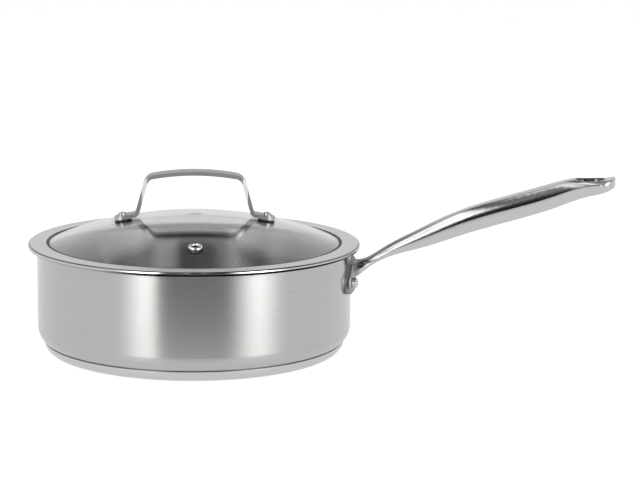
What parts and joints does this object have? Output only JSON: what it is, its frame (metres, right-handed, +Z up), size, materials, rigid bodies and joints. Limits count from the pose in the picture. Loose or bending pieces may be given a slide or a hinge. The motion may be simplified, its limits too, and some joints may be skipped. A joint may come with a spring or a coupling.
{
  "type": "saute pan with lid",
  "caption": "Straight-sided steel saute pan on a sandwich base, with a long riveted handle and a domed glass lid in a wide steel ring with a strip handle and steam vent.",
  "frame": {"origin": "centre of the flat underside of the pan's base, which rests on the hob", "axes": "+Z up along the pan's axis, +X along the long handle, -Y towards the side that the steam vent faces"},
  "size_m": [0.4532, 0.2566, 0.1391],
  "materials": {
    "brushed_steel": "brushed round the wall",
    "base_steel": "fine satin, turned",
    "satin_steel": "satin",
    "handle_steel": "polished top, satin flanks",
    "rivet_steel": "polished",
    "core_aluminium": "plain, enclosed",
    "chrome": "mirror polished",
    "lid_glass": "clear, tempered",
    "black_silicone": "matt silicone"
  },
  "bodies": {
    "pan": {"pan_shell": "brushed_steel", "base_core": "core_aluminium", "base_cap": "base_steel", "long_handle": "handle_steel", "handle_rivet_front": "rivet_steel", "handle_rivet_rear": "rivet_steel"},
    "lid": {"lid_glass": "lid_glass", "lid_ring": "satin_steel", "lid_seal": "black_silicone", "lid_handle": "satin_steel", "steam_vent": "chrome", "vent_gasket": "black_silicone", "vent_washer": "black_silicone", "lid_rivet_left": "rivet_steel", "lid_grommet_left": "black_silicone", "under_washer_left": "black_silicone", "cup_washer_left": "rivet_steel", "lid_rivet_right": "rivet_steel", "lid_grommet_right": "black_silicone", "under_washer_right": "black_silicone", "cup_washer_right": "rivet_steel"}
  },
  "joints": [
    {"name": "lid_lift", "type": "slide", "parent": "pan", "child": "lid", "axis": [0, 0, 1], "range_m": [0, 0.15]}
  ]
}
